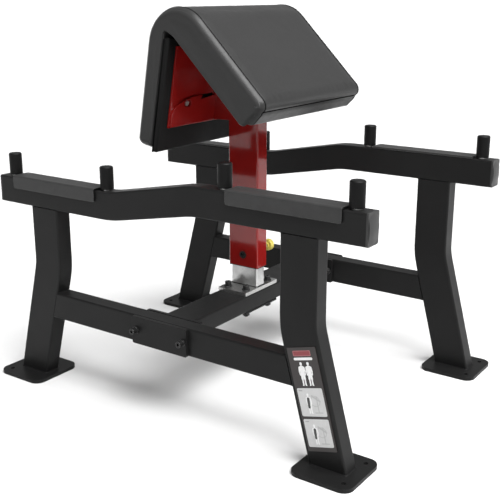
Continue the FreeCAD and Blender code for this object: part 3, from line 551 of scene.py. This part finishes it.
def cap_rows(sides):
    """Rows of points between the sides (outer, last, inner, first) of an end's ring."""
    outer, last, inner, first = sides
    rows = []
    for row in range(1, len(first) - 1):
        across = row / (len(first) - 1)
        places = []
        for step in range(1, len(outer) - 1):
            along = step / (len(outer) - 1)
            ribs = outer[step] * (1 - across) + inner[step] * across
            ends = first[row] * (1 - along) + last[row] * along
            corners = ((outer[0] * (1 - across) + inner[0] * across) * (1 - along)
                       + (outer[-1] * (1 - across) + inner[-1] * across) * along)
            places.append(ribs + ends - corners)
        rows.append(places)
    return rows


def tucked(outline):
    """The outline, pulled in where the slope's lower end panel is sewn on."""
    inward = inward_normals(outline)
    places = list(outline)
    for offset, share in ((-1, 0.35), (0, 1.0), (1, 0.35)):
        step = OUTER_STEPS + offset
        places[step] = outline[step] + inward[OUTER_STEPS] * TUCK * share
    return places


def pad_mesh():
    """Verts, faces, the rings at the two seams, the size of a ring, and the first vert inside a cap."""
    outlines = {cheek: tucked(pad_outline(cheek)) for cheek in (False, True)}
    inward = {cheek: inward_normals(outline) for cheek, outline in outlines.items()}
    count = len(outlines[False])
    shares = {cheek: [roll_share(step, count, cheek) for step in range(count)] for cheek in (False, True)}
    stations = pad_stations()
    verts = []
    rings = []
    for x, inset, cheek in stations:
        ring = [place + normal * inset * share for place, normal, share in
                zip(outlines[cheek], inward[cheek], shares[cheek])]
        rings.append(ring)
        verts.extend((x, y, z) for y, z in ring)
    faces = []
    for row in range(len(stations) - 1):
        for step in range(count):
            after = (step + 1) % count
            low = row * count
            faces.append((low + step, low + after, low + count + after, low + count + step))
    cap_start = len(verts)
    for station in (0, len(stations) - 1):
        add_cap(verts, faces, stations[station][0], rings[station], station * count)
    seams = [row for row, (x, _, _) in enumerate(stations) if abs(abs(x) - SEAM_X) < 1e-6]
    return verts, faces, seams, count, cap_start


def add_cap(verts, faces, x, ring, ring_start):
    """Closes one end with a grid of quads whose corners are the middles of the ring's corners."""
    count = len(ring)
    half = CORNER_STEPS // 2
    length = OUTER_STEPS - CORNER_STEPS
    width = SHORT_STEPS + CORNER_STEPS
    outer = [half + step for step in range(length + 1)]
    last = [half + length + step for step in range(width + 1)]
    inner = [count - SHORT_STEPS - half - step for step in range(length + 1)]
    first = [(half - step) % count for step in range(width + 1)]
    rows = cap_rows([[ring[step] for step in side] for side in (outer, last, inner, first)])
    grid = [[ring_start + step for step in outer]]
    for row, places in enumerate(rows, 1):
        start = len(verts)
        verts.extend((x, y, z) for y, z in places)
        between = list(range(start, start + len(places)))
        grid.append([ring_start + first[row]] + between + [ring_start + last[row]])
    grid.append([ring_start + step for step in inner])
    for upper, lower in zip(grid, grid[1:]):
        for step in range(length):
            faces.append((upper[step], upper[step + 1], lower[step + 1], lower[step]))


def swell(piece, pinned):
    """Stuffs a closed cover: a remeshed copy is inflated as cloth, and the piece follows it outwards."""
    copy = piece.copy()
    copy.data = piece.data.copy()
    bpy.context.scene.collection.objects.link(copy)
    remesh = copy.modifiers.new("remesh", "REMESH")
    remesh.mode = "VOXEL"
    remesh.voxel_size = CLOTH_VOXEL
    graph = bpy.context.evaluated_depsgraph_get()
    solid = bpy.data.meshes.new_from_object(copy.evaluated_get(graph))
    copy.modifiers.clear()
    copy.data = solid
    before = [vert.co.copy() for vert in solid.vertices]
    held = copy.vertex_groups.new(name="held")
    held.add([index for index, place in enumerate(before) if pinned(place)], 1.0, "REPLACE")
    cloth = copy.modifiers.new("cloth", "CLOTH")
    cloth.settings.quality = 5
    cloth.settings.vertex_group_mass = "held"
    cloth.settings.use_pressure = True
    cloth.settings.uniform_pressure_force = PRESSURE
    cloth.settings.effector_weights.gravity = 0
    scene = bpy.context.scene
    for number in range(1, CLOTH_FRAMES + 1):
        scene.frame_set(number)
    graph = bpy.context.evaluated_depsgraph_get()
    after = [vert.co.copy() for vert in copy.evaluated_get(graph).data.vertices]
    scene.frame_set(1)
    bpy.data.objects.remove(copy)
    tree = KDTree(len(before))
    for index, place in enumerate(before):
        tree.insert(place, index)
    tree.balance()
    moved = []
    for vert in piece.data.vertices:
        near = tree.find_n(vert.co, 6)
        weights = [1 / (distance + MM) for _, _, distance in near]
        shift = Vector((0, 0, 0))
        for (_, index, _), weight in zip(near, weights):
            shift += (after[index] - before[index]) * (weight / sum(weights))
        outward = vert.normal.copy()
        rise = CROWN * math.tanh(max(0.0, shift.dot(outward)) / CROWN)
        from_seam = abs(abs(vert.co.x) - SEAM_X)
        moved.append(vert.co + outward * rise * (1 - math.exp(-(from_seam / SEAM_REACH) ** 2)))
    for vert, place in zip(piece.data.vertices, moved):
        vert.co = place
    piece.data.update()


def relax(piece, first):
    """Evens out the vertices from number first on."""
    eased = bmesh.new()
    eased.from_mesh(piece.data)
    eased.verts.ensure_lookup_table()
    for _ in range(EASE_ROUNDS):
        bmesh.ops.smooth_vert(
            eased, verts=eased.verts[first:], factor=EASE_SHARE, use_axis_y=True, use_axis_z=True)
    eased.to_mesh(piece.data)
    eased.free()


def make_seam(name, path):
    seam = tube_along(name, path, [THREAD_RADIUS] * len(path), False, THREAD_AND_GAP_SHADE, 6)
    place_piece(seam, "pad_carriage")


def make_pad():
    verts, faces, seams, count, cap_start = pad_mesh()
    pad = new_piece("pad_cover", verts, faces, MATERIALS["pad_vinyl"])
    relax(pad, cap_start)
    swell(pad, on_board)
    places = [vert.co.copy() for vert in pad.data.vertices]
    for row in seams:
        steps = list(range(count - SHORT_STEPS, count)) + list(range(OUTER_STEPS + SHORT_STEPS + 1))
        path = []
        for step in steps:
            bottom, before, after = (places[(row + away) * count + step]
                                     for away in (0, -SEAM_HALF_STEPS, SEAM_HALF_STEPS))
            path.append((before + after + bottom * 2) / 4)
        make_seam("left_pad_seam" if path[0].x < 0 else "right_pad_seam", path)
    # The lower end of the slope's cover is a panel of its own, sewn on along its upper edge.
    rows_between = range(seams[0], seams[1] + 1)
    make_seam("lower_pad_seam", [places[row * count + OUTER_STEPS] for row in rows_between])
    place_piece(pad, "pad_carriage")
    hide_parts("arm_pad")


def make_boards():
    """Both boards with their wrapped, rounded edges."""
    low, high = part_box("steep_pad_board")
    back = STEEP_FOAM + BOARD
    corners = [steep_point(STEEP_FOAM, low[2]), steep_point(STEEP_FOAM, high[2]),
               steep_point(back, high[2]), steep_point(back, low[2])]
    steep = rounded_slab("steep_board_wrap", corners, high[0], BOARD_ROUND, MATERIALS["board"])
    place_piece(steep, "pad_carriage")
    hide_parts("steep_pad_board")
    # A near-black cord along the steep board's edges is painted shade for the gap between foam and board.
    heights = (high[2] - 4 * MM, low[2] + GAP_SHADE_RADIUS)
    seat = [steep_point(STEEP_FOAM + GAP_SHADE_RADIUS, height) for height in heights]
    reach = high[0] - 1 * MM
    path = [Vector((-reach, *place)) for place in seat]
    path += [Vector((reach, *place)) for place in reversed(seat)]
    gap_shade = tube_along("board_gap_shade", path, [GAP_SHADE_RADIUS] * len(path), False, THREAD_AND_GAP_SHADE, 8)
    place_piece(gap_shade, "pad_carriage")
    back = SLOPE_FOAM + BOARD
    start, end = SLOPE_BOARD_RUN
    corners = [slope_point(SLOPE_FOAM, start), slope_point(SLOPE_FOAM, end),
               slope_point(back, end), slope_point(back, start)]
    slope = rounded_slab("slope_board_wrap", corners, SLOPE_BOARD_HALF, BOARD_ROUND, MATERIALS["board"])
    place_piece(slope, "pad_carriage")
    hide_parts("slope_pad_board")


# -------------------------------------------------------------------------------- welds
def loop_path(centre, first, second, half_first, half_second):
    """Rounded rectangle of points about a centre, along two directions."""
    flat = []
    for turn, (sign_a, sign_b) in enumerate(((1, 1), (-1, 1), (-1, -1), (1, -1))):
        for step in range(5):
            angle = math.pi / 2 * (turn + step / 4)
            flat.append((sign_a * (half_first - TUBE_CORNER) + TUBE_CORNER * math.cos(angle),
                         sign_b * (half_second - TUBE_CORNER) + TUBE_CORNER * math.sin(angle)))
    return [centre + first * a + second * b for a, b in flat]


def evenly(path, closed, spacing):
    """The path's points again, evenly spaced along it."""
    ends = path[1:] + path[:1] if closed else path[1:]
    placed = []
    for start, end in zip(path, ends):
        steps = max(1, round((end - start).length / spacing))
        placed.extend(start + (end - start) * (step / steps) for step in range(steps))
    if not closed:
        placed.append(path[-1])
    return placed


def weld(name, path, closed=True):
    """Bead with the ripples of a hand-run weld."""
    places = evenly(path, closed, WELD_PITCH / 3)
    radii = []
    for index, _ in enumerate(places):
        ripple = math.sin(2 * math.pi * index / 3) * 0.09
        wander = math.sin(index * 0.11) * 0.07 + math.sin(index * 0.037 + 1.3) * 0.06
        radii.append(WELD_RADIUS * (1 + ripple + wander))
    place_piece(tube_along(name, places, radii, closed, WELD, 8), "stand")


def make_welds():
    x_axis, y_axis, z_axis = Vector((1, 0, 0)), Vector((0, 1, 0)), Vector((0, 0, 1))
    for side in ("left", "right"):
        for end, outward in (("front", -1), ("rear", 1)):
            low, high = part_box(f"{side}_{end}_leg")
            middle_x = (low[0] + high[0]) / 2
            half_x = (high[0] - low[0]) / 2
            foot = low[1] if outward < 0 else high[1]
            inner = high[1] if outward < 0 else low[1]
            half_foot = LEG_DEPTH / 2 / math.cos(LEG_SPLAY)
            foot_middle = Vector((middle_x, foot - outward * half_foot, low[2]))
            weld(f"{side}_{end}_foot_weld", loop_path(foot_middle, x_axis, y_axis, half_x, half_foot))
            reach = half_x - TUBE_CORNER
            for place, word in ((inner, "inner"), (inner + outward * LEG_DEPTH, "outer")):
                ends = [Vector((middle_x + way * reach, place, high[2])) for way in (-1, 1)]
                weld(f"{side}_{end}_{word}_beam_weld", ends, False)
            rail_low, rail_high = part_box(f"{side}_lower_rail")
            for z, word in ((rail_low[2], "lower"), (rail_high[2], "upper")):
                y = foot - outward * (2 * half_foot + (z - low[2]) * math.tan(LEG_SPLAY))
                ends = [Vector((middle_x + way * reach, y, z)) for way in (-1, 1)]
                weld(f"{side}_{end}_{word}_rail_weld", ends, False)
    low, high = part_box("cross_beam")
    middle = (Vector(low) + Vector(high)) / 2
    half_y, half_z = (high[1] - low[1]) / 2, (high[2] - low[2]) / 2
    for x, side in ((low[0], "left"), (high[0], "right")):
        centre = Vector((x, middle.y, middle.z))
        weld(side + "_cross_beam_weld", loop_path(centre, y_axis, z_axis, half_y, half_z))
    low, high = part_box("inner_post")
    weld("inner_post_weld", loop_path(Vector((0, 0, low[2])), x_axis, y_axis, high[0], high[1]))


# ------------------------------------------------------------------------------ placard
def placard_point(across, along, lift):
    """Place on the placard: millimetres towards the rear and up its middle line, and proud of it."""
    low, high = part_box("instruction_placard")
    across, along = across * MM, along * MM
    return (low[0] - lift * MM,
            (low[1] + high[1]) / 2 + across * math.cos(LEG_SPLAY) + along * math.sin(LEG_SPLAY),
            (low[2] + high[2]) / 2 - across * math.sin(LEG_SPLAY) + along * math.cos(LEG_SPLAY))


def rounded_patch(middle, size, radius):
    half_w, half_h = size[0] / 2 - radius, size[1] / 2 - radius
    outline = []
    for turn, (sign_a, sign_b) in enumerate(((1, 1), (-1, 1), (-1, -1), (1, -1))):
        for step in range(6):
            angle = math.pi / 2 * (turn + step / 5)
            outline.append((middle[0] + sign_a * half_w + radius * math.cos(angle),
                            middle[1] + sign_b * half_h + radius * math.sin(angle)))
    return outline


def stroke(start, end, radius):
    """Round-ended line."""
    heading = math.atan2(end[1] - start[1], end[0] - start[0])
    outline = []
    for centre, turn in ((end, -math.pi / 2), (start, math.pi / 2)):
        for step in range(9):
            angle = heading + turn + math.pi * step / 8
            outline.append((centre[0] + radius * math.cos(angle), centre[1] + radius * math.sin(angle)))
    return outline


def ring_strokes(centre, radius, width):
    """Circle outline as short strokes."""
    places = []
    for step in range(24):
        angle = 2 * math.pi * step / 24
        places.append((centre[0] + radius * math.cos(angle), centre[1] + radius * math.sin(angle)))
    return [stroke(start, end, width) for start, end in zip(places, places[1:] + places[:1])]


def ink(name, outlines, colour, lift):
    """Thin printed shapes that lie on the placard, each a hair above the one before."""
    verts = []
    faces = []
    for number, outline in enumerate(outlines):
        start = len(verts)
        count = len(outline)
        proud = lift + number * 0.003
        verts.extend(placard_point(*place, proud) for place in outline)
        verts.extend(placard_point(*place, proud - 0.1) for place in outline)
        faces.append(tuple(range(start, start + count)))
        faces.append(tuple(range(start + 2 * count - 1, start + count - 1, -1)))
        for step in range(count):
            after = (step + 1) % count
            faces.append((start + step, start + count + step, start + count + after, start + after))
    place_piece(new_piece(name, verts, faces, INK[colour], smooth=False), "stand")


def figure_strokes(middle, foot, height, lean=0.0):
    strokes = []
    for x0, y0, x1, y1, radius in FIGURE:
        start = (middle - (x0 + lean * y0) * height, foot + y0 * height)
        end = (middle - (x1 + lean * y1) * height, foot + y1 * height)
        strokes.append(stroke(start, end, radius * height))
    return strokes


def make_placard_graphics():
    ink("badge_border", [rounded_patch((1, 114.5), (49, 13.5), 2.5)], "pale", 0.08)
    ink("badge", [rounded_patch((1, 114.5), (45, 10), 1.5)], "red", 0.14)
    ink("blank_title", [rounded_patch((0, 101), (52, 6.5), 3.2)], "white", 0.08)
    figures = figure_strokes(9.5, 35, FIGURE_HEIGHT) + figure_strokes(-10, 35, FIGURE_HEIGHT)
    ink("standing_figures", figures, "white", 0.08)
    panels = [rounded_patch((0.5, middle), PANEL_SIZE, 4) for middle in PANEL_MIDDLES]
    ink("step_panels", panels, "panel", 0.08)
    dashes = [stroke((30, middle + 29), (22, middle + 29), 1.3) for middle in PANEL_MIDDLES]
    ink("panel_dashes", dashes, "grey", 0.16)
    machines = []
    people = []
    torsos = []
    for middle in PANEL_MIDDLES:
        machines.append(stroke((-14, middle - 26), (-14, middle + 14), 1.4))
        machines += ring_strokes((-9, middle + 2), 12.5, 0.8)
        machines.append(stroke((-2, middle + 16), (-22, middle + 2), 2.0))
        machines.append(stroke((-4, middle - 26), (-24, middle - 26), 1.4))
        people += figure_strokes(8, middle - 28, 50, -0.02)
        torsos.append(stroke((9, middle + 9), (9.5, middle - 3), 3.6))
        torsos.append(stroke((9.5, middle - 3), (10, middle - 12), 3.2))
    ink("machine_outlines", machines, "faint", 0.16)
    ink("exercise_figures", people, "white", 0.30)
    ink("exercise_clothes", torsos, "dark", 0.55)


make_pad()
make_boards()
make_welds()
make_placard_graphics()


# --------------------------------------------------------------- floor, lights and camera
def make_floor():
    shader = Shader("studio_floor", specular=0.05)
    shade = shader.ramp(shader.noise(1.5, 3.0), 0.2, 0.8)
    paper = shader.blend(shade, grey(0.60), grey(0.63))
    material = shader.finish(paper, 0.9, shader.bump(shader.noise(200.0), 0.02, 0.2 * MM))
    reach = 600.0
    corners = [(-reach, -reach, 0), (reach, -reach, 0), (reach, reach, 0), (-reach, reach, 0)]
    new_piece("studio_floor", corners, [(0, 1, 2, 3)], material, smooth=False)


def make_light(name, kind, place, aim, power, **settings):
    data = bpy.data.lights.new(name, kind)
    data.energy = power
    for key, value in settings.items():
        setattr(data, key, value)
    lamp = bpy.data.objects.new(name, data)
    lamp.location = place
    lamp.rotation_euler = (Vector(aim) - Vector(place)).to_track_quat("-Z", "Y").to_euler()
    bpy.context.scene.collection.objects.link(lamp)


def make_world():
    """White surroundings, brighter in a band along the horizon."""
    world = bpy.data.worlds.new("studio")
    world.use_nodes = True
    background = world.node_tree.nodes["Background"]
    background.inputs["Color"].default_value = (1.0, 1.0, 1.0, 1.0)
    add = world.node_tree.nodes.new
    link = world.node_tree.links.new
    parts = add("ShaderNodeSeparateXYZ")
    link(add("ShaderNodeTexCoord").outputs["Generated"], parts.inputs[0])
    fade = add("ShaderNodeMapRange")
    link(parts.outputs["Z"], fade.inputs["Value"])
    for socket, value in (("From Min", 0.03), ("From Max", 0.14), ("To Min", 1.0), ("To Max", 0.34)):
        fade.inputs[socket].default_value = value
    link(fade.outputs["Result"], background.inputs["Strength"])
    bpy.context.scene.world = world
    bpy.context.scene.view_settings.view_transform = "Standard"


def make_camera():
    data = bpy.data.cameras.new("camera")
    data.sensor_width = 36.0
    data.lens = CAMERA_LENS
    camera = bpy.data.objects.new("camera", data)
    camera.location = CAMERA_PLACE
    camera.rotation_euler = (math.radians(90 + CAMERA_PITCH), 0, math.radians(-CAMERA_YAW))
    bpy.context.scene.collection.objects.link(camera)
    bpy.context.scene.camera = camera


make_floor()
make_world()
make_light("key", "SUN", (-0.05, -0.5, 0.86), (0, 0, 0), 5.9, angle=math.radians(50))
make_light("softbox", "AREA", (-1.0, -1.2, 2.85), (0, 0, 0.9), 38, shape="SQUARE", size=1.1)
make_camera()
